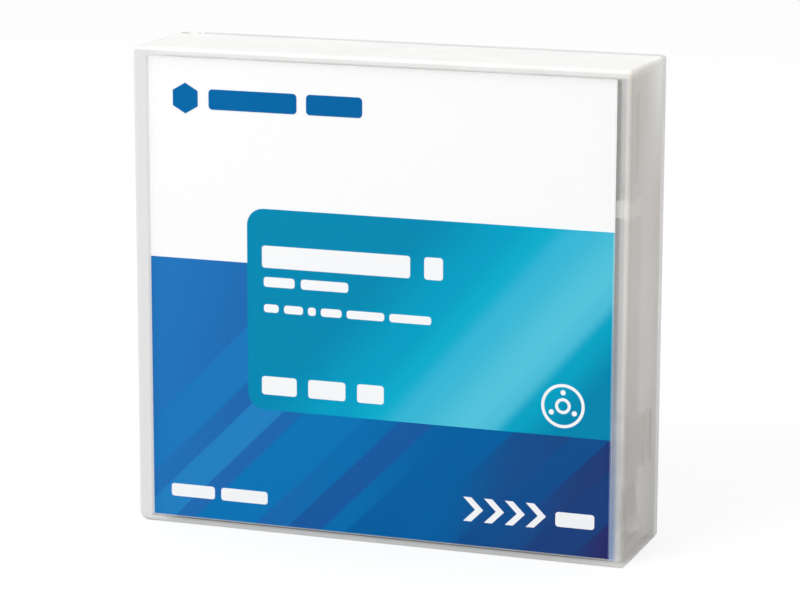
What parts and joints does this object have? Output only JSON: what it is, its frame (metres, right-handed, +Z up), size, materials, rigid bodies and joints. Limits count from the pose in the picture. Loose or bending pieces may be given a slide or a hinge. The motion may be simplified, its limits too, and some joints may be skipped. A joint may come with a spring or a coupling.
{
  "type": "data tape cartridge in a library case",
  "caption": "Half-inch data tape cartridge in its clear hinged library case, which stands upright and shows a printed card behind its cover.",
  "frame": {"origin": "middle of the closed case's lower face, on the surface that it stands on", "axes": "+X to the case's right as its front is read, +Y to its back, +Z up; the hinge runs along Z at the left rear edge"},
  "size_m": [0.117, 0.0276, 0.111],
  "materials": {
    "case_back_plastic": "natural polypropylene, milky, fine moulded texture",
    "case_cover_plastic": "natural polypropylene, clear against the card, milky at the walls",
    "card": "coated card printed in blue and teal fields",
    "shell_bottom_plastic": "black moulded polycarbonate, spark-eroded texture",
    "shell_top_plastic": "black moulded polycarbonate, spark-eroded texture",
    "screw_steel": "zinc plated",
    "door_plastic": "black acetal",
    "door_spring_steel": "spring wire",
    "pin_steel": "ground stainless steel",
    "sleeve_plastic": "natural acetal",
    "clip_steel": "stamped spring steel",
    "lead_in_film": "coated tape",
    "hub_plastic": "light grey moulded plastic",
    "flange_plastic": "light grey moulded plastic",
    "plate_steel": "stamped magnetic steel",
    "tape_film": "wound coated tape",
    "brake_plastic": "natural acetal",
    "brake_spring_steel": "spring wire",
    "release_plastic": "natural acetal",
    "slider_plastic": "red acetal",
    "chip_board": "small radio board"
  },
  "bodies": {
    "case_back": {"case_base": "case_back_plastic", "shell_bottom": "shell_bottom_plastic", "shell_top": "shell_top_plastic", "shell_screws": "screw_steel", "door_spring": "door_spring_steel", "leader_pin": "pin_steel", "pin_sleeve": "sleeve_plastic", "pin_clip": "clip_steel", "tape_lead_in": "lead_in_film", "brake_spring": "brake_spring_steel", "memory_chip": "chip_board"},
    "cover": {"case_cover": "case_cover_plastic", "insert_card": "card"},
    "door": {"access_door": "door_plastic"},
    "reel": {"reel_hub": "hub_plastic", "reel_flange": "flange_plastic", "reel_plate": "plate_steel", "tape_pack": "tape_film"},
    "brake": {"brake_button": "brake_plastic"},
    "release": {"release_plate": "release_plastic"},
    "write_protect": {"write_protect_slider": "slider_plastic"}
  },
  "joints": [
    {"name": "cover_hinge", "type": "hinge", "parent": "case_back", "child": "cover", "pos_m": [-0.0557, 0.011, 0.0555], "axis": [0, 0, -1], "range_deg": [0, 180]},
    {"name": "door_slide", "type": "slide", "parent": "case_back", "child": "door", "axis": [0, 0, 1], "range_m": [0, 0.0184], "stiffness_N_per_m": 30, "springref_m": -0.005, "deforming": ["door_spring"]},
    {"name": "reel_spin", "type": "hinge", "parent": "case_back", "child": "reel", "pos_m": [0.001, 0, 0.0555], "axis": [0, -1, 0], "continuous": true},
    {"name": "brake_lift", "type": "slide", "parent": "case_back", "child": "brake", "axis": [0, -1, 0], "range_m": [0, 0.0018], "stiffness_N_per_m": 400, "springref_m": -0.003, "deforming": ["brake_spring"]},
    {"name": "release_lift", "type": "slide", "parent": "reel", "child": "release", "axis": [0, -1, 0], "range_m": [0, 0.0018]},
    {"name": "write_protect_slide", "type": "slide", "parent": "case_back", "child": "write_protect", "axis": [-1, 0, 0], "range_m": [0, 0.0055]}
  ],
  "couplings": [
    {"joint": "release_lift", "follows": "brake_lift", "ratio": 1}
  ]
}
